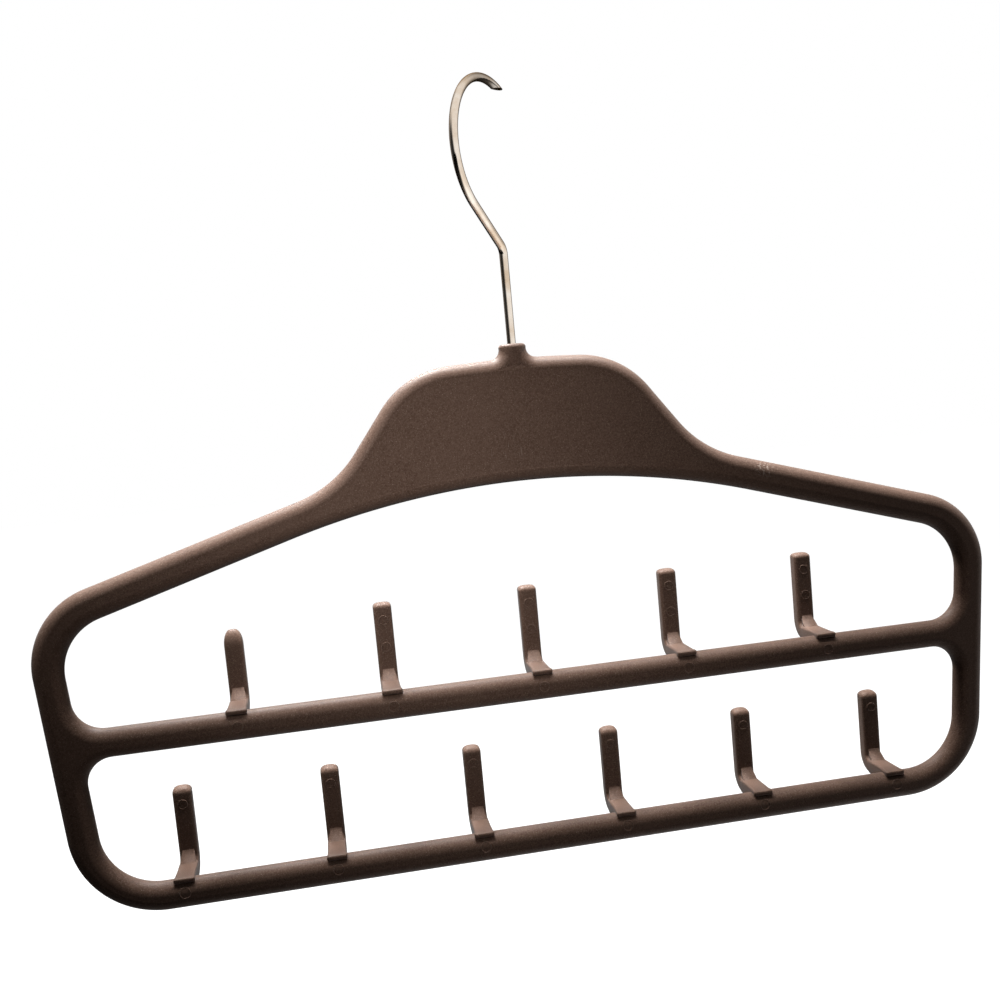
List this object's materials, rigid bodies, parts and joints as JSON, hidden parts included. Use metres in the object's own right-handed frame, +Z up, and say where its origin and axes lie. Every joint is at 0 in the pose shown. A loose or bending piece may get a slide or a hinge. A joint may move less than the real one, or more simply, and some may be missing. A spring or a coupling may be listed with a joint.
{
  "type": "tie hanger",
  "caption": "Moulded tie hanger with a swivelling wire hook, sloping arms, a crossbar and a lower bar, each bar with a row of upright pegs behind it.",
  "frame": {"origin": "the point inside the hook's crown, straight above the stem's axis, where the hanger hangs on a rail", "axes": "+X along the bars, +Y from the smooth front toward the pegs, +Z up along the stem"},
  "size_m": [0.38, 0.0463, 0.3026],
  "materials": {
    "moulding": "dark brown moulded plastic with a fine grain",
    "plated_wire": "warm bright plating on drawn steel wire"
  },
  "bodies": {
    "hook": {"hook": "plated_wire"},
    "hanger": {"frame": "moulding", "upper_peg_1": "moulding", "upper_peg_2": "moulding", "upper_peg_3": "moulding", "upper_peg_4": "moulding", "upper_peg_5": "moulding", "lower_peg_1": "moulding", "lower_peg_2": "moulding", "lower_peg_3": "moulding", "lower_peg_4": "moulding", "lower_peg_5": "moulding", "lower_peg_6": "moulding"}
  },
  "joints": [
    {"name": "hook_swivel", "type": "hinge", "parent": "hook", "child": "hanger", "pos_m": [0, 0, -0.0971], "axis": [0, 0, 1], "continuous": true}
  ]
}
